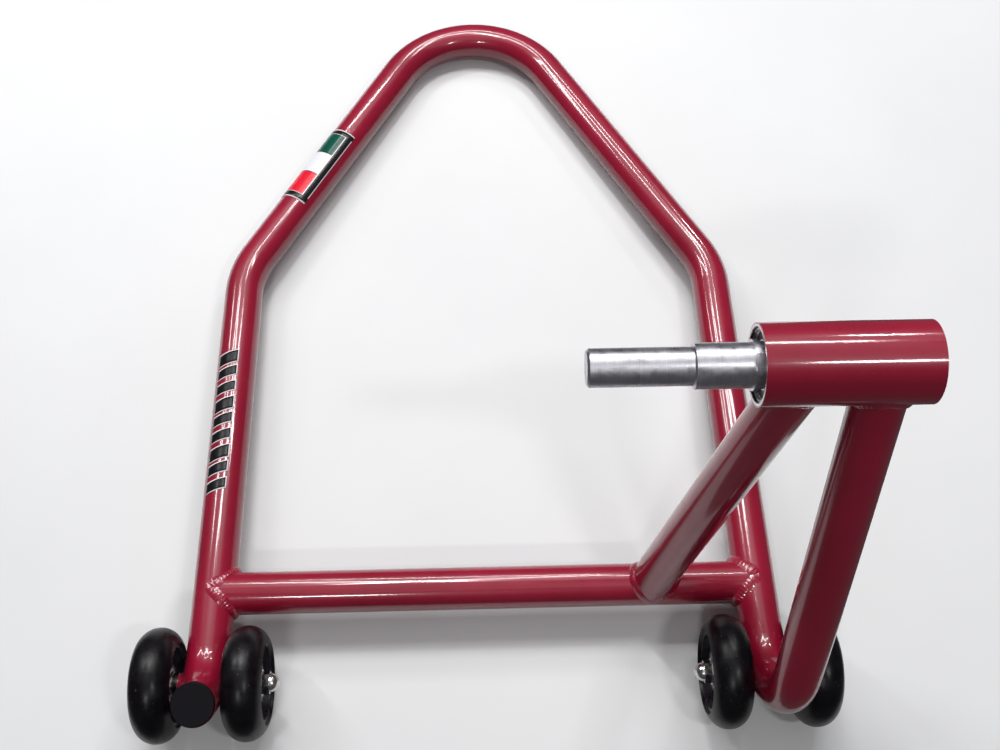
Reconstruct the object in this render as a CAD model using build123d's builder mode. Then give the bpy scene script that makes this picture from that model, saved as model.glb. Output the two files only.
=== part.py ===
"""Single-sided motorcycle paddock stand: a bent tube frame on four wheels with a stepped lifting pin.

Millimetres, +Z up. +X runs along the wheel axles and the lifting pin, +Y from the wheels to the handle loop.
The wheels and the handle loop stand on z = 0, and x = 0, y = 0 is the middle of the bounding box.
"""

import os
from math import cos, radians, sin

from build123d import *

# Overall box of the finished stand, as it comes from the sizes below, used to centre the frame.
WHEEL_FRONT = -45.0
HANDLE_BACK = 703.26
Y_CENTRE = (WHEEL_FRONT + HANDLE_BACK) / 2

# Frame tubes.
TUBE_R = 17.5
TUBE_WALL = 2.0
TUBE_BORE_R = TUBE_R - TUBE_WALL
AXLE_Y = -Y_CENTRE
LEG_X = 225.5
SHOULDER_X = 221.5
SHOULDER_Y = 392.0 - Y_CENTRE
APEX_Y = 776.0 - Y_CENTRE
LEG_Z = 37.8
LEG_DROP = (LEG_Z - TUBE_R) / (HANDLE_BACK - TUBE_R)
FRONT_BEND_R = 53.0
SHOULDER_BEND_R = 85.0
APEX_BEND_R = 90.0
STUB_Y = AXLE_Y - 24.0
STUB_TOP_Z = 94.0
STUB_SHORT_DEG = 17.6
UPRIGHT_Y = AXLE_Y - 58.0
CROSS_Y = AXLE_Y + 75.9
BRACE_FOOT_X = 136.4
BRACE_HEAD_X = 197.3
UPRIGHT_HEAD_X = 244.8
# Where the long tube is divided into its two legs and its handle, on the straight runs of the legs.
LEG_END_Y = AXLE_Y + 320.0

# Bearing housing and lifting pin, all on one axis along X.
PIN_Y = AXLE_Y + 113.2
PIN_Z = 363.1
HOUSING_X0 = 164.0
HOUSING_X1 = 271.0
HOUSING_R = 26.0
BEARING_W = 12.0
BEARING_R = 23.5
BEARING_BORE_R = 12.5
HOUSING_WAIST_R = 22.0
INNER_BEARING_X = 167.4
OUTER_BEARING_X = 248.0
CLIP_W = 1.8
CLIP_GROOVE_W = 2.0
CLIP_GROOVE_R = 24.7
CLIP_INNER_R = 21.6
CLIP_LUG_R = 2.6
CLIP_LUG_BORE_R = 1.0
CLIP_LUG_PITCH_R = 20.6
CLIP_LUG_DEG = 30.0
CLIP_GAP_W = 8.0
PIN_BALL_R = 3.15
PIN_BALL_PITCH_R = 18.0
PIN_BALLS = 10
PIN_INNER_RING_R = 15.4
PIN_OUTER_RING_R = 20.6
PIN_SEAL_T = 0.9
PIN_SPACER_R = 15.0
PIN_WASHER_R = 14.5
PIN_WASHER_T = 2.5
NOSE_X = 60.3
STEP_X = 125.5
COLLAR_X = 160.6
NOSE_R = 12.0
STEP_R = 14.2
COLLAR_R = 15.75
COLLAR_W = 3.2
SHOULDER_R = 14.8
NOSE_CHAMFER = 1.5
STEP_CHAMFER = 0.8
JOURNAL_SHORT = 0.2
RETAINER_R = 5.0
RETAINER_HOLE_L = 34.0
RETAINER_SHANK_L = 30.0
RETAINER_HEX_R = 9.2
RETAINER_HEAD_H = 6.0

# Wheels: two on each axle, one at either side of its leg.
WHEEL_R = 45.0
WHEEL_HALF_W = 16.0
WHEEL_OFFSET = 35.0
TREAD_EDGE_R = 33.0
RIM_R = 32.0
RIM_BORE_R = 28.8
RIM_HALF_W = 13.5
WEB_HALF_W = 7.5
BOSS_R = 15.4
BOSS_HALF_W = 10.0
HUB_LIP_H = 1.5
POCKET_DEPTH = 5.5
POCKETS = 5
POCKET_IN_R = 17.0
POCKET_OUT_R = 27.4
POCKET_DEG = 37.0
POCKET_START_DEG = 18.0
WHEEL_BEARING_R = 13.0
WHEEL_BEARING_W = 8.0
AXLE_R = 5.0
WHEEL_BALL_R = 2.25
WHEEL_BALL_PITCH_R = 9.0
WHEEL_BALLS = 7
WHEEL_INNER_RING_R = 7.4
WHEEL_OUTER_RING_R = 10.6
WHEEL_SEAL_T = 0.6
HUB_LIP_HALF_W = BOSS_HALF_W - WHEEL_BEARING_W
SLEEVE_R = 8.0
SLEEVE_HALF_L = 19.0
INNER_SLEEVE_R = 7.0
SPACER_R = 9.5
WASHER_R = 10.5
WASHER_T = 1.6
BOLT_FLAT_R = 9.2
BOLT_HEAD_H = 6.4
NUT_H = 6.0
DOME_R = 7.4

# Gaps and cages inside the ball bearings.
BALL_TRACK_GAP = 0.12
SEAL_GAP = 0.12
CAGE_HALF_T = 0.9
CAGE_END_GAP = 0.2

# Push-in plug that closes the stub on the left.
PLUG_RIM_R = 17.1
PLUG_RIM_T = 3.5
PLUG_CHAMFER = 0.8
PLUG_FIN_R = TUBE_BORE_R - 0.3
PLUG_FIN_T = 1.6
PLUG_BODY_R = 13.5
PLUG_DEPTH = 5.6

# Decal skins on the left half of the main tube.
LABEL_T = 0.35
LABEL_LEN = 94.0
LABEL_MID = 135.0
STRIPE_LEN = 146.0
STRIPE_MID = 165.0
LABEL_SPAN = (-72, 38)
STRIPE_SPAN = (-15, 50)

os.makedirs("parts", exist_ok=True)


def leg_height(y):
    """Height of the plane that holds the legs and the handle loop."""
    return LEG_Z - LEG_DROP * (y - AXLE_Y)


def leg_x(y):
    """Half spacing of the legs, which draw together slightly towards the shoulders."""
    return LEG_X - (LEG_X - SHOULDER_X) * (y - AXLE_Y) / (SHOULDER_Y - AXLE_Y)


def turned(x, y, z):
    """Sketch plane through an axis parallel to X: local x runs along it and local y is the radius."""
    return Plane(origin=(x, y, z), x_dir=(1, 0, 0), z_dir=(0, -1, 0))


def across(x, y, z):
    """Sketch plane square to X at the given point."""
    return Plane(origin=(x, y, z), x_dir=(0, 1, 0), z_dir=(1, 0, 0))


def ring(origin, x0, x1, r0, r1, mode=Mode.ADD):
    """Turned ring about the X direction through origin, from x0 to x1 and r0 to r1."""
    with BuildSketch(turned(*origin)) as profile:
        with Locations(((x0 + x1) / 2, (r0 + r1) / 2)):
            Rectangle(x1 - x0, r1 - r0)
    revolve(profile.sketch, axis=Axis(origin, (1, 0, 0)), mode=mode)


def rod(start, end, radius):
    """Solid cylinder between two points, for the tubes and the cuts that cope them."""
    axis = Plane(origin=start, z_dir=(end - start).normalized())
    base = (Align.CENTER, Align.CENTER, Align.MIN)
    return axis * Cylinder(radius, (end - start).length, align=base, mode=Mode.PRIVATE)


def save(builder, label):
    """Names a finished piece and writes its file."""
    builder.part.label = label
    export_step(builder.part, "parts/" + label + ".step")


# Centre line of the main tube, from the plugged stub on the left round the handle to the upright.
stub_top = Vector(-leg_x(STUB_Y), STUB_Y, STUB_TOP_Z)
stub_foot = Vector(-leg_x(STUB_Y), STUB_Y, leg_height(STUB_Y))
left_shoulder = Vector(-SHOULDER_X, SHOULDER_Y, leg_height(SHOULDER_Y))
apex = Vector(0, APEX_Y, leg_height(APEX_Y))
right_shoulder = Vector(SHOULDER_X, SHOULDER_Y, leg_height(SHOULDER_Y))
upright_foot = Vector(leg_x(UPRIGHT_Y), UPRIGHT_Y, leg_height(UPRIGHT_Y))
upright_head = Vector(UPRIGHT_HEAD_X, PIN_Y, PIN_Z)

with BuildLine() as main_path:
    FilletPolyline(
        stub_top,
        stub_foot,
        left_shoulder,
        apex,
        right_shoulder,
        upright_foot,
        upright_head,
        radius=[FRONT_BEND_R, SHOULDER_BEND_R, APEX_BEND_R, SHOULDER_BEND_R, FRONT_BEND_R],
    )

stub_plane = Plane(origin=stub_top, z_dir=(0, 0, -1))
main_solid = sweep(stub_plane * Circle(TUBE_R), path=main_path.line)
main_bore = sweep(stub_plane * Circle(TUBE_BORE_R), path=main_path.line)
housing_solid = rod(Vector(HOUSING_X0, PIN_Y, PIN_Z), Vector(HOUSING_X1, PIN_Y, PIN_Z), HOUSING_R)

left_axle = (-LEG_X, AXLE_Y, WHEEL_R)
right_axle = (LEG_X, AXLE_Y, WHEEL_R)

leg_end_plane = Plane(origin=(0, LEG_END_Y, 0), z_dir=(0, 1, 0))

# The plugged end is cut square to the tube, a little before the bend is complete, so its cap leans forwards.
short_sin = sin(radians(STUB_SHORT_DEG))
short_cos = cos(radians(STUB_SHORT_DEG))
stub_bend_y = STUB_Y + FRONT_BEND_R
stub_bend_z = leg_height(stub_bend_y) + FRONT_BEND_R
stub_end_y = stub_bend_y - FRONT_BEND_R * short_cos
stub_end_z = stub_bend_z - FRONT_BEND_R * short_sin
stub_end_plane = Plane(
    origin=(-leg_x(STUB_Y), stub_end_y, stub_end_z),
    x_dir=(1, 0, 0),
    z_dir=(0, -short_sin, short_cos),
)
stub_end_axis = Axis(stub_end_plane.origin, stub_end_plane.z_dir)


def tube_run(keep_end, keep_side, label):
    """One stretch of the long bent tube, on one side of the leg ends and, for a leg, of the middle."""
    with BuildPart() as run:
        add(main_solid)
        add(main_bore, mode=Mode.SUBTRACT)
        add(housing_solid, mode=Mode.SUBTRACT)
        with Locations(left_axle, right_axle):
            Cylinder(SLEEVE_R, 4 * TUBE_R, rotation=(0, 90, 0), mode=Mode.SUBTRACT)
        split(bisect_by=leg_end_plane, keep=keep_end)
        if keep_side is not None:
            split(bisect_by=Plane.YZ, keep=keep_side)
            if keep_side == Keep.BOTTOM:
                split(bisect_by=stub_end_plane, keep=Keep.BOTTOM)
    save(run, label)


tube_run(Keep.TOP, None, "handle_tube")
tube_run(Keep.BOTTOM, Keep.BOTTOM, "left_leg_tube")
tube_run(Keep.BOTTOM, Keep.TOP, "right_leg_tube")

cross_left = Vector(-leg_x(CROSS_Y), CROSS_Y, leg_height(CROSS_Y))
cross_right = Vector(leg_x(CROSS_Y), CROSS_Y, leg_height(CROSS_Y))
cross_solid = rod(cross_left, cross_right, TUBE_R)
with BuildPart() as cross_tube:
    add(cross_solid)
    add(rod(cross_left, cross_right, TUBE_BORE_R), mode=Mode.SUBTRACT)
    add(main_solid, mode=Mode.SUBTRACT)
save(cross_tube, "cross_tube")

brace_foot = Vector(BRACE_FOOT_X, CROSS_Y, leg_height(CROSS_Y))
brace_head = Vector(BRACE_HEAD_X, PIN_Y, PIN_Z)
with BuildPart() as brace_tube:
    add(rod(brace_foot, brace_head, TUBE_R))
    add(rod(brace_foot, brace_head, TUBE_BORE_R), mode=Mode.SUBTRACT)
    add(cross_solid, mode=Mode.SUBTRACT)
    add(housing_solid, mode=Mode.SUBTRACT)
save(brace_tube, "brace_tube")

# Bearing housing: two seats with a waist between them, and a clip groove outside each bearing.
pin_axis = (0, PIN_Y, PIN_Z)
inner_bearing_end = INNER_BEARING_X + BEARING_W
outer_bearing_end = OUTER_BEARING_X + BEARING_W
inner_clip_x = INNER_BEARING_X - CLIP_GROOVE_W
with BuildPart() as bearing_housing:
    add(housing_solid)
    ring(pin_axis, HOUSING_X0, inner_bearing_end, 0, BEARING_R, Mode.SUBTRACT)
    ring(pin_axis, inner_bearing_end, OUTER_BEARING_X, 0, HOUSING_WAIST_R, Mode.SUBTRACT)
    ring(pin_axis, OUTER_BEARING_X, HOUSING_X1, 0, BEARING_R, Mode.SUBTRACT)
    ring(pin_axis, inner_clip_x, INNER_BEARING_X, 0, CLIP_GROOVE_R, Mode.SUBTRACT)
    ring(pin_axis, outer_bearing_end, outer_bearing_end + CLIP_GROOVE_W, 0, CLIP_GROOVE_R, Mode.SUBTRACT)
save(bearing_housing, "bearing_housing")

with BuildPart(stub_end_plane) as leg_end_plug:
    Cylinder(PLUG_RIM_R, PLUG_RIM_T, align=(Align.CENTER, Align.CENTER, Align.MIN))
    rim_edges = leg_end_plug.edges().group_by(stub_end_axis)[-1]
    chamfer(rim_edges, PLUG_CHAMFER)
    Cylinder(PLUG_FIN_R, PLUG_FIN_T, align=(Align.CENTER, Align.CENTER, Align.MAX))
    Cylinder(PLUG_BODY_R, PLUG_DEPTH, align=(Align.CENTER, Align.CENTER, Align.MAX))
save(leg_end_plug, "leg_end_plug")


# Wheel axles. Along each axle the pieces stand at both sides of the leg, so they come in pairs.
def axle_sleeve(axle, label):
    """Welded sleeve through the leg that the axle bolt passes."""
    with BuildPart() as sleeve:
        ring(axle, -SLEEVE_HALF_L, SLEEVE_HALF_L, AXLE_R, SLEEVE_R)
    save(sleeve, label)


def axle_bolt(axle, outward, label):
    """Long bolt with its head at the outer wheel and its thread end at the inner wheel."""
    grip = WHEEL_OFFSET + BOSS_HALF_W + WASHER_T
    head_plane = across(axle[0] + outward * grip, axle[1], axle[2])
    with BuildPart() as bolt:
        reach = sorted((-outward * (grip + NUT_H), outward * grip))
        ring(axle, reach[0], reach[1], 0, AXLE_R)
        with BuildSketch(head_plane):
            RegularPolygon(BOLT_FLAT_R, 6)
        extrude(amount=outward * BOLT_HEAD_H)
    save(bolt, label)


axle_sleeve(left_axle, "left_axle_sleeve")
axle_sleeve(right_axle, "right_axle_sleeve")
axle_bolt(left_axle, -1, "left_axle_bolt")
axle_bolt(right_axle, 1, "right_axle_bolt")

stack_end = WHEEL_OFFSET + BOSS_HALF_W
with BuildPart() as axle_washers:
    for axle in (left_axle, right_axle):
        ring(axle, stack_end, stack_end + WASHER_T, AXLE_R, WASHER_R)
        ring(axle, -stack_end - WASHER_T, -stack_end, AXLE_R, WASHER_R)
save(axle_washers, "axle_washers")

with BuildPart() as axle_nuts:
    for axle, outward in ((left_axle, -1), (right_axle, 1)):
        seat = axle[0] - outward * (stack_end + WASHER_T)
        with BuildSketch(across(seat, axle[1], axle[2])):
            RegularPolygon(BOLT_FLAT_R, 6)
            Circle(AXLE_R, mode=Mode.SUBTRACT)
        extrude(amount=-outward * NUT_H)
        with BuildSketch(turned(seat - outward * NUT_H, axle[1], axle[2])) as dome:
            Circle(DOME_R)
            Rectangle(4 * DOME_R, 2 * DOME_R, align=(Align.CENTER, Align.MAX), mode=Mode.SUBTRACT)
            side = Align.MIN if outward > 0 else Align.MAX
            Rectangle(2 * DOME_R, 4 * DOME_R, align=(side, Align.CENTER), mode=Mode.SUBTRACT)
        revolve(axis=Axis(axle, (1, 0, 0)))
save(axle_nuts, "axle_nuts")

with BuildPart() as wheel_spacers:
    for axle in (left_axle, right_axle):
        ring(axle, SLEEVE_HALF_L, WHEEL_OFFSET - BOSS_HALF_W, AXLE_R, SPACER_R)
        ring(axle, BOSS_HALF_W - WHEEL_OFFSET, -SLEEVE_HALF_L, AXLE_R, SPACER_R)
save(wheel_spacers, "wheel_spacers")

wheel_centres = {
    "left_outer": (-LEG_X - WHEEL_OFFSET, AXLE_Y, WHEEL_R),
    "left_inner": (-LEG_X + WHEEL_OFFSET, AXLE_Y, WHEEL_R),
    "right_inner": (LEG_X - WHEEL_OFFSET, AXLE_Y, WHEEL_R),
    "right_outer": (LEG_X + WHEEL_OFFSET, AXLE_Y, WHEEL_R),
}

with BuildPart() as wheel_bearing_sleeves:
    for hub_centre in wheel_centres.values():
        ring(hub_centre, -HUB_LIP_HALF_W, HUB_LIP_HALF_W, AXLE_R, INNER_SLEEVE_R)
save(wheel_bearing_sleeves, "wheel_bearing_sleeves")


def track(origin, pitch_r, ball_r):
    """Cuts the round groove that a ring of balls runs in."""
    with BuildSketch(turned(*origin)) as profile:
        with Locations((0, pitch_r)):
            Circle(ball_r + BALL_TRACK_GAP)
    revolve(profile.sketch, axis=Axis(origin, (1, 0, 0)), mode=Mode.SUBTRACT)


def race(centres, section, ball, label):
    """Bearing rings of one kind with their ball grooves. section is (half width, inner, outer radius)."""
    half_w, r0, r1 = section
    pitch_r, ball_r = ball
    with BuildPart() as rings:
        for centre in centres:
            ring(centre, -half_w, half_w, r0, r1)
            track(centre, pitch_r, ball_r)
    save(rings, label)


def ball_set(centres, ball, count, label):
    """Rings of balls, one at each bearing centre. ball is (pitch radius, ball radius)."""
    pitch_r, ball_r = ball
    with BuildPart() as balls:
        for centre in centres:
            with Locations(across(*centre)):
                with PolarLocations(pitch_r, count):
                    Sphere(ball_r)
    save(balls, label)


def cage_set(centres, half_w, ball, count, label):
    """Cages that keep the balls apart, one at each bearing centre. ball is (pitch radius, ball radius)."""
    pitch_r, ball_r = ball
    pocket_r = ball_r + BALL_TRACK_GAP
    with BuildPart() as cages:
        for centre in centres:
            ring(centre, -half_w, half_w, pitch_r - CAGE_HALF_T, pitch_r + CAGE_HALF_T)
        for centre in centres:
            with Locations(across(*centre)):
                with PolarLocations(pitch_r, count):
                    Cylinder(pocket_r, 4 * CAGE_HALF_T, rotation=(0, 90, 0), mode=Mode.SUBTRACT)
    save(cages, label)


def seal_set(centres, half_w, thick, radii, label):
    """Thin closing discs just inside both faces of each bearing. radii is (inner, outer)."""
    r0, r1 = radii
    with BuildPart() as seals:
        for centre in centres:
            ring(centre, half_w - 2 * thick, half_w - thick, r0, r1)
            ring(centre, thick - half_w, 2 * thick - half_w, r0, r1)
    save(seals, label)


def bearing_centres(hub_centre):
    """Centres of the two ball bearings in one wheel."""
    step = HUB_LIP_HALF_W + WHEEL_BEARING_W / 2
    x, y, z = hub_centre
    return [(x - step, y, z), (x + step, y, z)]


half_bearing = WHEEL_BEARING_W / 2
wheel_ball = (WHEEL_BALL_PITCH_R, WHEEL_BALL_R)
all_centres = [place for hub_centre in wheel_centres.values() for place in bearing_centres(hub_centre)]
inner_race = (half_bearing, AXLE_R, WHEEL_INNER_RING_R)
race(all_centres, inner_race, wheel_ball, "wheel_bearing_inner_rings")


def wheel(name, centre):
    """One wheel: rubber tyre, moulded hub, and the bearing pieces that turn in it."""
    with BuildPart() as tyre:
        with BuildSketch(turned(*centre)):
            with BuildLine():
                Polyline(
                    (-WHEEL_HALF_W, TREAD_EDGE_R),
                    (-RIM_HALF_W, RIM_R),
                    (RIM_HALF_W, RIM_R),
                    (WHEEL_HALF_W, TREAD_EDGE_R),
                )
                ThreePointArc((WHEEL_HALF_W, TREAD_EDGE_R), (0, WHEEL_R), (-WHEEL_HALF_W, TREAD_EDGE_R))
            make_face()
        revolve(axis=Axis(centre, (1, 0, 0)))
    save(tyre, name + "_tyre")

    with BuildPart() as hub:
        ring(centre, -RIM_HALF_W, RIM_HALF_W, RIM_BORE_R, RIM_R)
        ring(centre, -WEB_HALF_W, WEB_HALF_W, BOSS_R, RIM_BORE_R)
        ring(centre, -BOSS_HALF_W, BOSS_HALF_W, WHEEL_BEARING_R, BOSS_R)
        ring(centre, -HUB_LIP_HALF_W, HUB_LIP_HALF_W, WHEEL_BEARING_R - HUB_LIP_H, WHEEL_BEARING_R)
        for side in (-1, 1):
            floor_x = centre[0] + side * (WEB_HALF_W - POCKET_DEPTH)
            with BuildSketch(across(floor_x, centre[1], centre[2])):
                with PolarLocations(0, POCKETS, start_angle=POCKET_START_DEG):
                    mid_r = (POCKET_IN_R + POCKET_OUT_R) / 2
                    SlotArc(CenterArc((0, 0), mid_r, -POCKET_DEG / 2, POCKET_DEG), POCKET_OUT_R - POCKET_IN_R)
            extrude(amount=side * 2 * POCKET_DEPTH, mode=Mode.SUBTRACT)
    save(hub, name + "_hub")

    places = bearing_centres(centre)
    outer_race = (half_bearing, WHEEL_OUTER_RING_R, WHEEL_BEARING_R)
    seal_radii = (WHEEL_INNER_RING_R + SEAL_GAP, WHEEL_OUTER_RING_R)
    cage_half = half_bearing - 2 * WHEEL_SEAL_T - CAGE_END_GAP
    race(places, outer_race, wheel_ball, name + "_bearing_rings")
    seal_set(places, half_bearing, WHEEL_SEAL_T, seal_radii, name + "_bearing_shields")
    ball_set(places, wheel_ball, WHEEL_BALLS, name + "_balls")
    cage_set(places, cage_half, wheel_ball, WHEEL_BALLS, name + "_ball_cages")


for wheel_name, wheel_centre in wheel_centres.items():
    wheel(wheel_name, wheel_centre)

# Lifting pin and its two sealed bearings.
pin_half_bearing = BEARING_W / 2
pin_ball = (PIN_BALL_PITCH_R, PIN_BALL_R)
pin_bearings = [
    (INNER_BEARING_X + pin_half_bearing, PIN_Y, PIN_Z),
    (OUTER_BEARING_X + pin_half_bearing, PIN_Y, PIN_Z),
]
pin_outer_race = (pin_half_bearing, PIN_OUTER_RING_R, BEARING_R)
pin_inner_race = (pin_half_bearing, BEARING_BORE_R, PIN_INNER_RING_R)
pin_seal_radii = (PIN_INNER_RING_R + SEAL_GAP, PIN_OUTER_RING_R)
pin_cage_half = pin_half_bearing - 2 * PIN_SEAL_T - CAGE_END_GAP
race(pin_bearings, pin_outer_race, pin_ball, "pin_bearing_outer_rings")
race(pin_bearings, pin_inner_race, pin_ball, "pin_bearing_inner_rings")
seal_set(pin_bearings, pin_half_bearing, PIN_SEAL_T, pin_seal_radii, "pin_bearing_seals")
ball_set(pin_bearings, pin_ball, PIN_BALLS, "pin_bearing_balls")
cage_set(pin_bearings, pin_cage_half, pin_ball, PIN_BALLS, "pin_bearing_cages")

# Open spring clips with two eyed lugs, one outside each bearing of the housing.
with BuildPart() as housing_circlips:
    for clip_x in (INNER_BEARING_X - CLIP_W, outer_bearing_end):
        with BuildSketch(across(clip_x, PIN_Y, PIN_Z)):
            Circle(CLIP_GROOVE_R)
            Circle(CLIP_INNER_R, mode=Mode.SUBTRACT)
            with Locations((0, (CLIP_INNER_R + CLIP_GROOVE_R) / 2)):
                Rectangle(CLIP_GAP_W, 2 * (CLIP_GROOVE_R - CLIP_INNER_R), mode=Mode.SUBTRACT)
            lug_start = 90 - CLIP_LUG_DEG / 2
            with PolarLocations(CLIP_LUG_PITCH_R, 2, start_angle=lug_start, angular_range=2 * CLIP_LUG_DEG):
                Circle(CLIP_LUG_R)
                Circle(CLIP_LUG_BORE_R, mode=Mode.SUBTRACT)
        extrude(amount=CLIP_W)
save(housing_circlips, "housing_circlips")

journal_end = outer_bearing_end - JOURNAL_SHORT
with BuildPart() as lifting_pin:
    ring(pin_axis, NOSE_X, STEP_X, 0, NOSE_R)
    nose_edge = lifting_pin.edges().filter_by(GeomType.CIRCLE).group_by(Axis.X)[0]
    chamfer(nose_edge, NOSE_CHAMFER)
    ring(pin_axis, STEP_X, COLLAR_X, 0, STEP_R)
    step_edges = lifting_pin.edges().filter_by(GeomType.CIRCLE).filter_by_position(Axis.X, STEP_X, STEP_X)
    chamfer(step_edges.sort_by(SortBy.RADIUS)[-1], STEP_CHAMFER)
    ring(pin_axis, COLLAR_X, COLLAR_X + COLLAR_W, 0, COLLAR_R)
    ring(pin_axis, COLLAR_X + COLLAR_W, INNER_BEARING_X, 0, SHOULDER_R)
    ring(pin_axis, INNER_BEARING_X, journal_end, 0, BEARING_BORE_R)
    ring(pin_axis, journal_end - RETAINER_HOLE_L, journal_end, 0, RETAINER_R, Mode.SUBTRACT)
save(lifting_pin, "lifting_pin")

with BuildPart() as pin_spacer_sleeve:
    ring(pin_axis, inner_bearing_end, OUTER_BEARING_X, BEARING_BORE_R, PIN_SPACER_R)
save(pin_spacer_sleeve, "pin_spacer_sleeve")

washer_end = outer_bearing_end + PIN_WASHER_T
with BuildPart() as pin_retaining_washer:
    ring(pin_axis, outer_bearing_end, washer_end, RETAINER_R, PIN_WASHER_R)
save(pin_retaining_washer, "pin_retaining_washer")

with BuildPart() as pin_retaining_bolt:
    ring(pin_axis, journal_end - RETAINER_SHANK_L, washer_end, 0, RETAINER_R)
    with BuildSketch(across(washer_end, PIN_Y, PIN_Z)):
        RegularPolygon(RETAINER_HEX_R, 6)
    extrude(amount=RETAINER_HEAD_H)
save(pin_retaining_bolt, "pin_retaining_bolt")


def decal(start, end, middle, length, span, label):
    """Thin skin wrapped over part of a straight tube. span is its two edges in degrees about the crown."""
    first_deg, last_deg = span
    along = (end - start).normalized()
    crown = (Vector(0, 0, 1) - along * along.Z).normalized()
    skin_plane = Plane(origin=start + along * (middle - length / 2), x_dir=crown, z_dir=along)
    with BuildPart() as skin:
        with BuildSketch(skin_plane):
            with BuildLine():
                outer = CenterArc((0, 0), TUBE_R + LABEL_T, first_deg, last_deg - first_deg)
                inner = CenterArc((0, 0), TUBE_R, first_deg, last_deg - first_deg)
                Line(outer @ 0, inner @ 0)
                Line(outer @ 1, inner @ 1)
            make_face()
        extrude(amount=length)
    save(skin, label)


decal(left_shoulder, apex, LABEL_MID, LABEL_LEN, LABEL_SPAN, "tricolour_label")
decal(left_shoulder, stub_foot, STRIPE_MID, STRIPE_LEN, STRIPE_SPAN, "stripe_label")
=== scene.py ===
"""Looks for a single-sided motorcycle paddock stand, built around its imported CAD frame.

Metres, +Z up, in the CAD frame: +X runs along the wheel axles and the lifting pin, and +Y from the wheels
to the handle.
"""

import math

import bmesh
import bpy
from mathutils import Matrix, Vector, noise


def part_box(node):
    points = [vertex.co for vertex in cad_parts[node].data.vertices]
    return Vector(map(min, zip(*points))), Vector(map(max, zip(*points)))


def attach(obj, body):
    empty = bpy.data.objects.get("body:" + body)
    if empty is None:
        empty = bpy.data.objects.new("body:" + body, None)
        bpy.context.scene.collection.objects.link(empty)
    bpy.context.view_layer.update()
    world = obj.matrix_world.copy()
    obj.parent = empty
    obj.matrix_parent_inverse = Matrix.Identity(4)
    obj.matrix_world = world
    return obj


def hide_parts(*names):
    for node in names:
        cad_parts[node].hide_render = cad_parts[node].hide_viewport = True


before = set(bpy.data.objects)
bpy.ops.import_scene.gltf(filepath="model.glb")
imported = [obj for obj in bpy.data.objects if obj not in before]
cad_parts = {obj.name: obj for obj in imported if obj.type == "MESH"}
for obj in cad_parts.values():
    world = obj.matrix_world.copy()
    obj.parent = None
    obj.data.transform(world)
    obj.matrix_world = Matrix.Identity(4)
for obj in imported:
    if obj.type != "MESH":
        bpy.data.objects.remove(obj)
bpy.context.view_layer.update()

MM = 0.001
TAU = 2 * math.pi


# ---------------------------------------------------------------- places read from the frame


def centre_of(node):
    """Middle of a CAD node's box."""
    low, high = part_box(node)
    return (low + high) / 2


def half_size(node):
    """Half the size of a CAD node's box along X, Y and Z."""
    low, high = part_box(node)
    return (high - low) / 2


HOUSING = centre_of("bearing_housing")
HOUSING_R = half_size("bearing_housing").z
HOUSING_END_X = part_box("bearing_housing")[0].x
CROSS = centre_of("cross_tube")
TUBE_R = half_size("cross_tube").z
WHEEL = centre_of("left_outer_tyre")
LEG_X = -(centre_of("left_outer_tyre").x + centre_of("left_inner_tyre").x) / 2
HANDLE_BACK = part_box("handle_tube")[1].y
SLEEVE_R = half_size("left_axle_sleeve").z

# Design lengths of the frame that no box shows, from the axle line.
SHOULDER_X = 221.5 * MM
SHOULDER_Y = WHEEL.y + 392 * MM
APEX_Y = WHEEL.y + 776 * MM
STUB_Y = WHEEL.y - 24 * MM
UPRIGHT_Y = WHEEL.y - 58 * MM
UPRIGHT_HEAD_X = 244.8 * MM
BRACE_FOOT_X = 136.4 * MM
BRACE_HEAD_X = 197.3 * MM
BEND_R = 53 * MM

LEG_DROP = (CROSS.z - TUBE_R) / (HANDLE_BACK - TUBE_R - CROSS.y)


def leg_height(y):
    """Height of the centre line of the legs and the handle at y."""
    return CROSS.z - LEG_DROP * (y - CROSS.y)


def leg_x(y):
    """Half spacing of the legs at y."""
    return LEG_X - (LEG_X - SHOULDER_X) * (y - WHEEL.y) / (SHOULDER_Y - WHEEL.y)


def on_leg(side, y):
    """Centre-line point of the left (-1) or right (1) leg at y."""
    return Vector((side * leg_x(y), y, leg_height(y)))


# ---------------------------------------------------------------- material helpers


def new_material(name):
    """A node material and its Principled shader."""
    material = bpy.data.materials.new(name)
    material.use_nodes = True
    return material, material.node_tree.nodes["Principled BSDF"]


def node(material, kind, **values):
    """Adds a node, and sets its properties and its inputs by name."""
    made = material.node_tree.nodes.new(kind)
    for key, value in values.items():
        if hasattr(made, key):
            setattr(made, key, value)
        else:
            made.inputs[key.replace("_", " ").title()].default_value = value
    return made


def link(material, source, target):
    """Joins an output socket to an input socket."""
    material.node_tree.links.new(source, target)


def place_coords(material, scale=(1, 1, 1)):
    """Object coordinates, which ride with the CAD body, stretched by scale."""
    coords = node(material, "ShaderNodeTexCoord")
    mapping = node(material, "ShaderNodeMapping")
    mapping.inputs["Scale"].default_value = scale
    link(material, coords.outputs["Object"], mapping.inputs["Vector"])
    return mapping.outputs["Vector"]


def noise_value(material, vector, scale, detail, roughness=0.55):
    """Cloudy grey from 0 to 1. scale is in cells per metre."""
    made = node(material, "ShaderNodeTexNoise", scale=scale, detail=detail, roughness=roughness)
    link(material, vector, made.inputs["Vector"])
    return made.outputs["Fac"]


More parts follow.
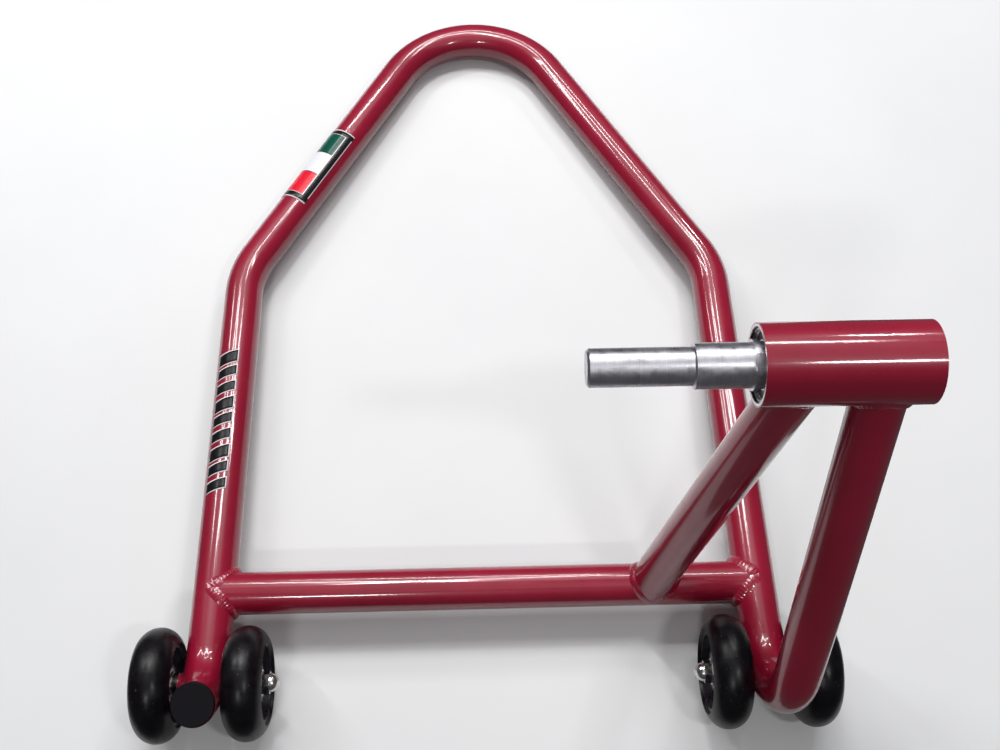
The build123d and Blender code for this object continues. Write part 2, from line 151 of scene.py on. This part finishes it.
def ramp(material, value, stops, interpolation="LINEAR"):
    """Colour ramp with stops of (place, colour or grey)."""
    made = node(material, "ShaderNodeValToRGB")
    made.color_ramp.interpolation = interpolation
    elements = made.color_ramp.elements
    while len(elements) < len(stops):
        elements.new(0.5)
    for element, (at, shade) in zip(elements, stops):
        element.position = at
        element.color = (*shade, 1) if hasattr(shade, "__len__") else (shade, shade, shade, 1)
    link(material, value, made.inputs["Fac"])
    return made.outputs["Color"]


def drive(material, shader, target, value, stops):
    """Runs one of the shader's inputs from a socket, through a ramp."""
    link(material, ramp(material, value, stops), shader.inputs[target])


def mix_colour(material, factor, first, second):
    """Mix of two colours, each a socket or a fixed colour, by the grey of a socket."""
    made = node(material, "ShaderNodeMix", data_type="RGBA")
    sockets = {socket.identifier: socket for socket in made.inputs}
    link(material, factor, sockets["Factor_Float"])
    for name, value in (("A_Color", first), ("B_Color", second)):
        if isinstance(value, bpy.types.NodeSocket):
            link(material, value, sockets[name])
        else:
            sockets[name].default_value = (*value, 1)
    return next(socket for socket in made.outputs if socket.identifier == "Result_Color")


def add_bump(material, shader, heights):
    """Bends the shader's normal by a chain of bumps, each (height socket, strength, distance)."""
    last = None
    for height, strength, distance in heights:
        made = node(material, "ShaderNodeBump", strength=strength, distance=distance)
        link(material, height, made.inputs["Height"])
        if last is not None:
            link(material, last, made.inputs["Normal"])
        last = made.outputs["Normal"]
    link(material, last, shader.inputs["Normal"])
    return last


def set_shader(shader, **values):
    """Sets inputs of the shader by name, with _ for a space."""
    for key, value in values.items():
        socket = shader.inputs[key.replace("_", " ").replace("Ior", "IOR")]
        socket.default_value = value


# ---------------------------------------------------------------- materials


def red_paint():
    """Crimson gloss enamel with a fine orange peel, faint flecks and slightly dusty patches."""
    material, shader = new_material("red_paint_gloss")
    set_shader(shader, Roughness=0.4, Specular_IOR_Level=0.3, Coat_Weight=1.0, Coat_Roughness=0.09)
    vector = place_coords(material)
    broad = noise_value(material, vector, scale=14.0, detail=2.0)
    fleck = noise_value(material, vector, scale=2400.0, detail=1.0)
    body = ramp(material, broad, [(0.3, (0.26, 0.0040, 0.024)), (0.7, (0.315, 0.006, 0.032))])
    spots = ramp(material, fleck, [(0.66, 0.0), (0.74, 1.0)])
    colour = mix_colour(material, spots, body, (0.40, 0.02, 0.045))
    link(material, colour, shader.inputs["Base Color"])
    dust = noise_value(material, vector, scale=60.0, detail=5.0, roughness=0.7)
    drive(material, shader, "Roughness", dust, [(0.35, 0.28), (0.8, 0.46)])
    peel = noise_value(material, vector, scale=520.0, detail=2.0, roughness=0.5)
    sag = noise_value(material, vector, scale=90.0, detail=1.0, roughness=0.4)
    heights = [(sag, 0.02, 0.0008), (peel, 0.05, 0.0003)]
    bumped = add_bump(material, shader, heights)
    link(material, bumped, shader.inputs["Coat Normal"])
    return material


def turned_steel(name, base, rough, mark_scale, mark_depth):
    """Bright steel turned on a lathe: fine rings about X, with soft stains."""
    material, shader = new_material(name)
    set_shader(shader, Metallic=1.0, Roughness=rough)
    about_x = place_coords(material, (mark_scale, 18, 18))
    rings = noise_value(material, about_x, scale=1.0, detail=4.0, roughness=0.7)
    stain = noise_value(material, place_coords(material), scale=130.0, detail=4.0, roughness=0.6)
    light = tuple(min(1.0, value * 1.12) for value in base)
    dark = tuple(value * 0.82 for value in base)
    streaked = ramp(material, rings, [(0.28, dark), (0.6, base), (0.75, light)])
    stained = mix_colour(material, ramp(material, stain, [(0.5, 0.0), (0.8, 0.28)]), streaked, dark)
    link(material, stained, shader.inputs["Base Color"])
    drive(material, shader, "Roughness", stain, [(0.3, rough * 0.75), (0.8, rough * 1.5)])
    add_bump(material, shader, [(rings, mark_depth, 0.0002)])
    return material


def rubber(name, base, rough, dusty):
    """Black rubber with a fine grain, grey scuffs and a little dust."""
    material, shader = new_material(name)
    set_shader(shader, Specular_IOR_Level=0.26)
    vector = place_coords(material)
    dust = noise_value(material, vector, scale=95.0, detail=6.0, roughness=0.72)
    grain = noise_value(material, vector, scale=1500.0, detail=3.0, roughness=0.6)
    speck = noise_value(material, vector, scale=420.0, detail=2.0, roughness=0.5)
    light = tuple(value + dusty for value in base)
    clean = ramp(material, dust, [(0.42, base), (0.78, light)])
    specks = ramp(material, speck, [(0.70, 0.0), (0.78, 0.6)])
    spotted = mix_colour(material, specks, clean, (0.11, 0.10, 0.11))
    link(material, spotted, shader.inputs["Base Color"])
    drive(material, shader, "Roughness", dust, [(0.35, rough * 0.8), (0.8, rough * 1.35)])
    add_bump(material, shader, [(dust, 0.12, 0.0008), (grain, 0.25, 0.0001)])
    return material


def moulded_plastic(name, base, rough, shine=0.3):
    """Black moulded plastic with a fine spark-eroded grain."""
    material, shader = new_material(name)
    set_shader(shader, Specular_IOR_Level=shine)
    vector = place_coords(material)
    cloud = noise_value(material, vector, scale=120.0, detail=4.0, roughness=0.6)
    grain = node(material, "ShaderNodeTexVoronoi", scale=1700.0)
    link(material, vector, grain.inputs["Vector"])
    light = tuple(value * 1.9 for value in base)
    drive(material, shader, "Base Color", cloud, [(0.35, base), (0.8, light)])
    drive(material, shader, "Roughness", cloud, [(0.3, rough * 0.85), (0.75, rough * 1.2)])
    add_bump(material, shader, [(cloud, 0.1, 0.0006), (grain.outputs["Distance"], 0.3, 0.00012)])
    return material


def plated_steel(name, base, rough):
    """Zinc-plated steel with a faint crystalline haze."""
    material, shader = new_material(name)
    set_shader(shader, Metallic=1.0)
    vector = place_coords(material)
    haze = noise_value(material, vector, scale=300.0, detail=5.0, roughness=0.65)
    along_y = place_coords(material, (900, 160, 900))
    scratch = noise_value(material, along_y, scale=1.0, detail=3.0, roughness=0.6)
    dark = tuple(value * 0.8 for value in base)
    drive(material, shader, "Base Color", haze, [(0.3, dark), (0.7, base)])
    drive(material, shader, "Roughness", haze, [(0.3, rough * 0.7), (0.75, rough * 1.4)])
    add_bump(material, shader, [(scratch, 0.06, 0.0002), (haze, 0.08, 0.0002)])
    return material


# Colours of the decals.
GREEN = (0.0, 0.075, 0.048)
PALE = (0.80, 0.80, 0.86)
SCARLET = (0.75, 0.012, 0.035)
INK = (0.006, 0.006, 0.008)
LINE = (0.62, 0.50, 0.54)
KEYLINE = (0.92, 0.86, 0.88)


def label_film():
    """Glossy printed film: three colour fields in a black border with white keylines.

    The print follows the piece's UV map, and each stop is the share of the length or width where a
    colour starts.
    """
    material, shader = new_material("label_print")
    set_shader(shader, Specular_IOR_Level=0.3, Coat_Weight=0.15, Coat_Roughness=0.1)
    uv = node(material, "ShaderNodeUVMap")
    split = node(material, "ShaderNodeSeparateXYZ")
    link(material, uv.outputs["UV"], split.inputs["Vector"])
    along, crosswise = split.outputs["X"], split.outputs["Y"]
    fields = [(0.0, KEYLINE), (0.014, INK), (0.074, LINE), (0.082, SCARLET), (0.366, INK), (0.374, PALE)]
    fields += [(0.652, INK), (0.660, GREEN), (0.926, LINE), (0.934, INK), (0.986, KEYLINE)]
    printed = ramp(material, along, fields, "CONSTANT")
    borders = ramp(material, crosswise, [(0.0, 1.0), (0.04, 0.0), (0.775, 1.0)], "CONSTANT")
    edge_shades = [(0.0, KEYLINE), (0.02, INK), (0.5, KEYLINE), (0.80, INK), (0.97, KEYLINE)]
    edge = ramp(material, crosswise, edge_shades, "CONSTANT")
    ends = ramp(material, along, [(0.0, KEYLINE), (0.014, INK), (0.986, KEYLINE)], "CONSTANT")
    end_mask = ramp(material, along, [(0.0, 1.0), (0.074, 0.0), (0.934, 1.0)], "CONSTANT")
    border = mix_colour(material, end_mask, edge, ends)
    colour = mix_colour(material, borders, printed, border)
    link(material, colour, shader.inputs["Base Color"])
    vector = place_coords(material)
    ripple = noise_value(material, vector, scale=260.0, detail=2.0, roughness=0.5)
    wear = noise_value(material, vector, scale=900.0, detail=4.0, roughness=0.7)
    drive(material, shader, "Roughness", wear, [(0.3, 0.22), (0.8, 0.42)])
    add_bump(material, shader, [(ripple, 0.08, 0.0006)])
    return material


def cut_vinyl(name, base):
    """Plain cut vinyl with a faint satin grain."""
    material, shader = new_material(name)
    set_shader(shader, Specular_IOR_Level=0.15, Coat_Weight=0.03, Coat_Roughness=0.12)
    vector = place_coords(material)
    grain = noise_value(material, vector, scale=700.0, detail=3.0, roughness=0.6)
    light = tuple(min(1.0, value * 1.25 + 0.004) for value in base)
    drive(material, shader, "Base Color", grain, [(0.35, base), (0.75, light)])
    drive(material, shader, "Roughness", grain, [(0.3, 0.25), (0.8, 0.4)])
    add_bump(material, shader, [(grain, 0.05, 0.0003)])
    return material


def pale_floor():
    """Pale sheet with the faintest mottling."""
    material, shader = new_material("floor_sheet")
    set_shader(shader, Roughness=0.55, Specular_IOR_Level=0.3)
    vector = place_coords(material)
    mottle = noise_value(material, vector, scale=3.0, detail=4.0, roughness=0.6)
    shades = [(0.3, (0.74, 0.742, 0.75)), (0.7, (0.78, 0.782, 0.79))]
    drive(material, shader, "Base Color", mottle, shades)
    return material


HUB_PLASTIC = moulded_plastic("hub_moulded", (0.022, 0.019, 0.026), 0.28, 0.6)
BARE_EDGE = plated_steel("bare_edge", (0.82, 0.78, 0.80), 0.25)
# Near-black lining for the housing bore: oily bare steel, darkened further as painted shade of the recess.
OILY_BORE_AND_PAINTED_SHADE = rubber("oily_bore_and_painted_shade", (0.004, 0.003, 0.004), 0.3, 0.004)
MATERIALS = {
    "red_paint": red_paint(),
    "black_plastic": moulded_plastic("black_moulded", (0.0024, 0.0016, 0.0034), 0.55, 0.16),
    "tyre_rubber": rubber("tyre_rubber_worn", (0.0026, 0.0016, 0.0032), 0.34, 0.005),
    "seal_rubber": rubber("seal_rubber_black", (0.006, 0.006, 0.007), 0.38, 0.006),
    "cage_steel": plated_steel("cage_steel_pressed", (0.55, 0.52, 0.48), 0.35),
    "bearing_steel": turned_steel("bearing_steel_ground", (0.72, 0.72, 0.74), 0.16, 2500, 0.05),
    "pin_steel": turned_steel("pin_steel_turned", (0.68, 0.67, 0.72), 0.34, 1500, 0.10),
    "clip_steel": plated_steel("clip_steel_ground", (0.62, 0.62, 0.64), 0.3),
    "zinc_steel": plated_steel("zinc_steel_bright", (0.74, 0.72, 0.70), 0.2),
    "spacer_steel": turned_steel("spacer_steel_bright", (0.80, 0.80, 0.80), 0.2, 1200, 0.06),
    "label_film": label_film(),
    "stripe_film": cut_vinyl("stripe_black", INK),
}
KEYLINE_VINYL = cut_vinyl("stripe_keyline", KEYLINE)

for node_name, cad_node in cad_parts.items():
    for slot in cad_node.material_slots:
        slot.material = HUB_PLASTIC if node_name.endswith("_hub") else MATERIALS[slot.material.name]


# ---------------------------------------------------------------- piece helpers


def mesh_object(name, builder, material):
    """Makes an object from a bmesh and gives it a material."""
    mesh = bpy.data.meshes.new(name)
    builder.to_mesh(mesh)
    builder.free()
    mesh.materials.append(material)
    made = bpy.data.objects.new(name, mesh)
    bpy.context.scene.collection.objects.link(made)
    return made


def new_piece(name, builder, material, body):
    """Makes a smooth piece from a bmesh with a material, and rides it on a body."""
    piece = mesh_object(name, builder, material)
    for polygon in piece.data.polygons:
        polygon.use_smooth = True
    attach(piece, body)
    return piece


def join_rings(builder, rings):
    """Faces between each ring of vertices and the next, and from the last back to the first."""
    for i, ring in enumerate(rings):
        following = rings[(i + 1) % len(rings)]
        for k in range(len(ring) - 1):
            builder.faces.new((ring[k], ring[k + 1], following[k + 1], following[k]))
    bmesh.ops.recalc_face_normals(builder, faces=builder.faces)


def frame_about(direction, crown=Vector((0, 0, 1))):
    """Two unit vectors square to direction: the one nearest to crown, and the one beside it."""
    up = (crown - direction * crown.dot(direction)).normalized()
    return up, direction.cross(up)


# ---------------------------------------------------------------- weld beads

BEAD_REACH = 4.6 * MM
BRACE_BEAD_REACH = 0.8 * BEAD_REACH
SLEEVE_BEAD_REACH = 0.3 * BEAD_REACH
BEAD_SINK = 0.25 * MM
BEAD_STEPS = 220
BEAD_SIDES = 8
RIPPLE_PITCH = 2.6 * MM
# Size of a bead as a share of its reach, and its bulge as a share of its size: each is a steady part,
# a part that follows the ripples and a part that follows slow noise.
BEAD_SIZE = (0.94, 0.05, 0.30)
BEAD_BULGE = (0.10, 0.05, 0.18)
NOISE_SCALE = 110
NOISE_SHIFT = 9000
# Where a seam's points are counted from: the side of the tube nearest to this direction.
SEAM_CROWN = Vector((0, 0.2, 1))
# About the middle of the legs' front bend, seen from the side.
BEND_Y = WHEEL.y + 27.5 * MM
BEND_Z = leg_height(BEND_Y) + BEND_R


def first_meeting(point, direction, run_point, run_direction, run_radius):
    """Where a ray first meets a cylinder, or its nearest point if it slips past."""
    offset = point - run_point
    slope = direction - run_direction * direction.dot(run_direction)
    gap = offset - run_direction * offset.dot(run_direction)
    a, b, c = slope.dot(slope), 2 * slope.dot(gap), gap.dot(gap) - run_radius**2
    root = math.sqrt(max(0.0, b * b - 4 * a * c))
    return point + direction * ((-b - root) / (2 * a))


def coped_loop(start, end, radius, run_point, run_direction, run_radius):
    """Closed curve where the tube from start to end meets a round run near its end."""
    direction = (end - start).normalized()
    up, beside = frame_about(direction, SEAM_CROWN)
    loop = []
    for step in range(BEAD_STEPS):
        angle = TAU * step / BEAD_STEPS
        rim = start + radius * (math.cos(angle) * up + math.sin(angle) * beside)
        loop.append(first_meeting(rim, direction, run_point, run_direction, run_radius))
    return loop


def sleeve_loop(side, face):
    """Closed curve where an axle sleeve comes out of the bent part of a leg."""
    loop = []
    for step in range(BEAD_STEPS):
        angle = TAU * step / BEAD_STEPS
        y = WHEEL.y + SLEEVE_R * math.cos(angle)
        z = WHEEL.z + SLEEVE_R * math.sin(angle)
        off_centre = math.hypot(y - BEND_Y, z - BEND_Z) - BEND_R
        reach = math.sqrt(max(0.0, TUBE_R**2 - off_centre**2))
        loop.append(Vector((side * LEG_X + face * reach, y, z)))
    return loop


def weighted(weights, wave, uneven):
    """A steady part, a part of the ripples and a part of the noise, added up."""
    steady, rippled, rough = weights
    return steady + rippled * wave + rough * uneven


def bead(name, loop, branch_normal, run_normal, reach):
    """Rippled fillet weld along the closed seam of a branch tube on a run, riding on the frame."""
    length = sum((loop[i] - loop[i - 1]).length for i in range(len(loop)))
    ripples = round(length / RIPPLE_PITCH)
    builder = bmesh.new()
    rings = []
    for i, here in enumerate(loop):
        ahead = (loop[(i + 1) % len(loop)] - loop[i - 1]).normalized()
        on_branch = branch_normal(here)
        on_run = run_normal(here)
        up_branch = ahead.cross(on_branch).normalized()
        up_branch *= 1 if up_branch.dot(on_run) > 0 else -1
        out_run = ahead.cross(on_run).normalized()
        out_run *= 1 if out_run.dot(on_branch) > 0 else -1
        wave = abs(math.sin(math.pi * ripples * i / len(loop)))
        uneven = noise.noise(here * NOISE_SCALE + Vector((0, 0, reach * NOISE_SHIFT)))
        size = reach * weighted(BEAD_SIZE, wave, uneven)
        first = here + up_branch * size - on_branch * BEAD_SINK
        last = here + out_run * size - on_run * BEAD_SINK
        bulge = (on_branch + on_run).normalized() * size * weighted(BEAD_BULGE, wave, abs(uneven))
        ring = []
        for k in range(BEAD_SIDES + 1):
            share = k / BEAD_SIDES
            arch = math.sin(math.pi * share)
            ring.append(builder.verts.new(first.lerp(last, share) + bulge * arch))
        rings.append(ring)
    join_rings(builder, rings)
    new_piece(name, builder, MATERIALS["red_paint"], "frame")


def round_normal(point, direction):
    """Outward normal of a round tube, as a function of a place near it."""

    def normal(place):
        offset = place - point
        return (offset - direction * offset.dot(direction)).normalized()

    return normal


X_AXIS = Vector((1, 0, 0))
LEG_RUN = {side: (on_leg(side, SHOULDER_Y) - on_leg(side, WHEEL.y)).normalized() for side in (-1, 1)}
brace_foot = Vector((BRACE_FOOT_X, CROSS.y, CROSS.z))
brace_head = Vector((BRACE_HEAD_X, HOUSING.y, HOUSING.z))
brace_mid = (brace_foot + brace_head) / 2
upright_foot = on_leg(1, UPRIGHT_Y)
upright_head = Vector((UPRIGHT_HEAD_X, HOUSING.y, HOUSING.z))
upright_mid = (upright_foot + upright_head) / 2


def joint_weld(name, start, end, run_point, run_direction, run_radius, reach):
    """Weld where the tube from start ends on a round run."""
    loop = coped_loop(start, end, TUBE_R, run_point, run_direction, run_radius)
    branch = round_normal(start, (end - start).normalized())
    bead(name, loop, branch, round_normal(run_point, run_direction), reach)


SIDES = ((-1, "left"), (1, "right"))

for side, side_name in SIDES:
    cross_end = on_leg(side, CROSS.y)
    joint_weld("weld_cross_" + side_name, CROSS, cross_end, cross_end, LEG_RUN[side], TUBE_R, BEAD_REACH)
joint_weld("weld_brace_foot", brace_mid, brace_foot, CROSS, X_AXIS, TUBE_R, BRACE_BEAD_REACH)
joint_weld("weld_brace_head", brace_mid, brace_head, HOUSING, X_AXIS, HOUSING_R, BRACE_BEAD_REACH)
joint_weld("weld_upright_head", upright_mid, upright_head, HOUSING, X_AXIS, HOUSING_R, BRACE_BEAD_REACH)


def sleeve_weld(name, side, face):
    """Small weld round an axle sleeve where it comes out of a leg."""
    axle = Vector((side * LEG_X, WHEEL.y, WHEEL.z))
    flat = Vector((face, 0, 0))
    loop = sleeve_loop(side, face)
    bead(name, loop, round_normal(axle, X_AXIS), lambda place: flat, SLEEVE_BEAD_REACH)


for side, side_name in SIDES:
    for face, face_name in ((-1, "a"), (1, "b")):
        sleeve_weld("weld_sleeve_" + side_name + "_" + face_name, side, face)


# ---------------------------------------------------------------- housing mouth


TURNED_STEPS = 96


def turned_skin(name, profile, material):
    """Ring about the pin's axis, from a profile of (x, radius), riding on the frame."""
    builder = bmesh.new()
    rings = []
    for step in range(TURNED_STEPS):
        angle = TAU * step / TURNED_STEPS
        out = Vector((0, math.cos(angle), math.sin(angle)))
        places = [Vector((x, HOUSING.y, HOUSING.z)) + radius * out for x, radius in profile]
        rings.append([builder.verts.new(place) for place in places])
    join_rings(builder, rings)
    new_piece(name, builder, material, "frame")


BORE_R = 23.5 * MM
SKIN = 0.08 * MM
MOUTH_X = HOUSING_END_X - SKIN
# The bare edge, from inside the bore out over the face, and the strip of bore that shows behind it. That
# strip is near black: partly the oily bare bore, partly painted shade of the recess inside the housing.
EDGE_DEPTH = 0.5 * MM
EDGE_ROUND = 0.35 * MM
EDGE_FLAT = 1.2 * MM
EDGE_W = 1.4 * MM
EDGE_PROUD = 0.05 * MM
BORE_DEPTH = 1.4 * MM

edge_profile = [
    (MOUTH_X + EDGE_DEPTH, BORE_R - SKIN),
    (MOUTH_X, BORE_R + EDGE_ROUND),
    (MOUTH_X - EDGE_PROUD, BORE_R + EDGE_FLAT),
    (MOUTH_X + SKIN, BORE_R + EDGE_W),
]
bore_profile = [(MOUTH_X + EDGE_DEPTH, BORE_R - SKIN), (MOUTH_X + BORE_DEPTH, BORE_R - SKIN)]
turned_skin("mouth_edge", edge_profile, BARE_EDGE)
turned_skin("mouth_bore_painted_shade", bore_profile, OILY_BORE_AND_PAINTED_SHADE)


# ---------------------------------------------------------------- decals


class Wrap:
    """Coordinates on a straight tube: distance along it and angle about its crown."""

    def __init__(self, start, end):
        self.start = start
        self.along = (end - start).normalized()
        self.crown, self.beside = frame_about(self.along)

    def at(self, distance, angle, radius):
        """Place at a distance along, an angle about the crown and a radius."""
        around = math.cos(angle) * self.crown + math.sin(angle) * self.beside
        return self.start + self.along * distance + radius * around


def wrapped_grid(builder, wrap, corner, size, radius, cells, slant=0.0, uv_layer=None):
    """Adds a curved patch on a tube. corner and size are (distance, angle), and slant shears it along."""
    rows = []
    for i in range(cells[0] + 1):
        row = []
        for j in range(cells[1] + 1):
            u, v = i / cells[0], j / cells[1]
            distance = corner[0] + size[0] * u + slant * v
            row.append(builder.verts.new(wrap.at(distance, corner[1] + size[1] * v, radius)))
        rows.append(row)
    for i in range(cells[0]):
        for j in range(cells[1]):
            face = builder.faces.new((rows[i][j], rows[i + 1][j], rows[i + 1][j + 1], rows[i][j + 1]))
            if uv_layer is not None:
                places = ((i, j), (i + 1, j), (i + 1, j + 1), (i, j + 1))
                for loop, (a, b) in zip(face.loops, places):
                    loop[uv_layer].uv = (a / cells[0], b / cells[1])


def film(piece, thickness):
    """Gives a skin its thickness, inwards."""
    solid = piece.modifiers.new("film", "SOLIDIFY")
    solid.thickness = thickness
    solid.offset = -1
    return piece


LABEL_LIFT = 0.25 * MM
LABEL_T = 0.2 * MM
LABEL_LEN = 94 * MM
LABEL_START = 88 * MM
LABEL_FROM = math.radians(-72)
LABEL_TO = math.radians(38)
LABEL_CELLS = (26, 32)

shoulder = on_leg(-1, SHOULDER_Y)
apex = Vector((0, APEX_Y, leg_height(APEX_Y)))
label_corner = (LABEL_START, LABEL_FROM)
label_size = (LABEL_LEN, LABEL_TO - LABEL_FROM)
builder = bmesh.new()
label_uv = builder.loops.layers.uv.new("UVMap")
diagonal = Wrap(shoulder, apex)
wrapped_grid(builder, diagonal, label_corner, label_size, TUBE_R + LABEL_LIFT, LABEL_CELLS, uv_layer=label_uv)
label = film(new_piece("tricolour_print", builder, MATERIALS["label_film"], "frame"), LABEL_T)
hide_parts("tricolour_label")

# Row of slanted bars with a white keyline down the left leg, in place of lettering. Every third bar is wider.
STRIPE_START = 92 * MM
STRIPE_LEN = 146 * MM
STRIPE_FROM = math.radians(-15)
STRIPE_TO = math.radians(50)
BARS = 9
BAR_SHARE = 0.62
WIDE_BAR_SHARE = BAR_SHARE + 0.16
BAR_SLANT = 5.0 * MM
BAR_CELLS = (6, 14)
KEYLINE_W = 1.0 * MM
BAR_LIFT = 0.3 * MM
KEYLINE_LIFT = 0.15 * MM
VINYL_T = 0.12 * MM

left_run = Wrap(shoulder, on_leg(-1, STUB_Y))
pitch = (STRIPE_LEN - BAR_SLANT) / BARS
span = STRIPE_TO - STRIPE_FROM
key_angle = KEYLINE_W / TUBE_R
ink = bmesh.new()
outline = bmesh.new()
for index in range(BARS):
    first = STRIPE_START + index * pitch + KEYLINE_W
    width = pitch * (BAR_SHARE if index % 3 else WIDE_BAR_SHARE)
    bar_corner = (first, STRIPE_FROM + key_angle)
    bar_size = (width - KEYLINE_W, span - 2 * key_angle)
    wrapped_grid(ink, left_run, bar_corner, bar_size, TUBE_R + BAR_LIFT, BAR_CELLS, BAR_SLANT)
    line_corner = (first - KEYLINE_W, STRIPE_FROM)
    line_size = (width + KEYLINE_W, span)
    wrapped_grid(outline, left_run, line_corner, line_size, TUBE_R + KEYLINE_LIFT, BAR_CELLS, BAR_SLANT)
bars = film(new_piece("stripe_bars", ink, MATERIALS["stripe_film"], "frame"), VINYL_T)
film(new_piece("stripe_outline", outline, KEYLINE_VINYL, "frame"), VINYL_T)
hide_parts("stripe_label")


# ---------------------------------------------------------------- stage, lights and camera

FLOOR_HALF = (6.0, 6.0)
SHEET_HALF = (0.36, 0.42)
FLOOR_Z = -0.3 * MM
SHEET_Z = -0.1 * MM
GROUND_CELLS = 8
FLOOR_SHEET = pale_floor()


def ground_piece(name, half, height):
    """Level rectangle of ground."""
    builder = bmesh.new()
    bmesh.ops.create_grid(builder, x_segments=GROUND_CELLS, y_segments=GROUND_CELLS, size=1)
    bmesh.ops.scale(builder, vec=(*half, 1), verts=builder.verts)
    made = mesh_object(name, builder, FLOOR_SHEET)
    made.location.z = height
    return made


# In reflections a smaller sheet under the stand takes the place of the floor. The camera doesn't see it.
floor = ground_piece("floor", FLOOR_HALF, FLOOR_Z)
floor.visible_glossy = False
floor.visible_diffuse = False
sheet = ground_piece("floor_bounce", SHEET_HALF, SHEET_Z)
sheet.visible_camera = False
sheet.visible_shadow = False
sheet.visible_diffuse = False


def rectangle_light(name, size, location, power):
    """Rectangular soft light that faces down until it is turned. size is along its own X and Y."""
    data = bpy.data.lights.new(name, "AREA")
    data.shape = "RECTANGLE"
    data.size, data.size_y = size
    data.energy = power
    lamp = bpy.data.objects.new(name, data)
    lamp.location = location
    bpy.context.scene.collection.objects.link(lamp)
    return lamp


CEILING = 2.4
SOFT_AT = Vector((0.2, 0.1, CEILING + 0.5))
SOFT_SIZE = (2.6, 2.6)
SOFT_POWER = 10
# Long ceiling lights: start, end, width and power.
STRIPS = [
    ((-3.28, 2.58), (-1.62, 0.92), 0.12, 26),
    ((-0.77, 1.64), (-0.02, 0.76), 0.10, 17),
    ((0.42, 1.55), (-0.40, 0.70), 0.10, 17),
    ((-0.92, 1.65), (-1.82, 1.03), 0.10, 17),
    ((-0.69, 2.40), (0.44, 1.91), 0.10, 18),
    ((0.43, 1.19), (1.07, 1.16), 0.10, 10),
    ((-0.66, -2.05), (-0.29, -2.05), 0.16, 14),
    ((0.85, -1.10), (1.15, -1.10), 0.16, 10),
    ((1.30, 2.45), (1.50, 2.45), 0.16, 14),
]

soft = rectangle_light("ceiling_soft", SOFT_SIZE, SOFT_AT, SOFT_POWER)
soft.rotation_mode = "QUATERNION"
soft.rotation_quaternion = (-SOFT_AT).to_track_quat("-Z", "Y")

for number, (start, end, width, power) in enumerate(STRIPS, 1):
    first = Vector((*start, CEILING))
    run = Vector((*end, CEILING)) - first
    lamp = rectangle_light("strip_" + str(number), (run.length, width), first + run / 2, power)
    lamp.rotation_euler = (0, 0, math.atan2(run.y, run.x))

world = bpy.data.worlds.new("room")
world.use_nodes = True
backdrop = world.node_tree.nodes["Background"]
backdrop.inputs["Color"].default_value = (0.80, 0.82, 0.86, 1)
backdrop.inputs["Strength"].default_value = 0.09
bpy.context.scene.world = world
bpy.context.scene.view_settings.view_transform = "Standard"

CAMERA_AT = Vector((-0.0096, -0.5401, 1.0020))
CAMERA_TARGET = Vector((0.0186, -0.0371, 0.0))
CAMERA_ROLL = math.radians(1.77)
CAMERA_LENS = 42.85
SENSOR_W = 36.0

camera_data = bpy.data.cameras.new("camera")
camera_data.sensor_width = SENSOR_W
camera_data.lens = CAMERA_LENS
camera = bpy.data.objects.new("camera", camera_data)
facing = (CAMERA_TARGET - CAMERA_AT).to_track_quat("-Z", "Y").to_matrix().to_4x4()
camera.matrix_world = Matrix.Translation(CAMERA_AT) @ facing @ Matrix.Rotation(CAMERA_ROLL, 4, "Z")
bpy.context.scene.collection.objects.link(camera)
bpy.context.scene.camera = camera
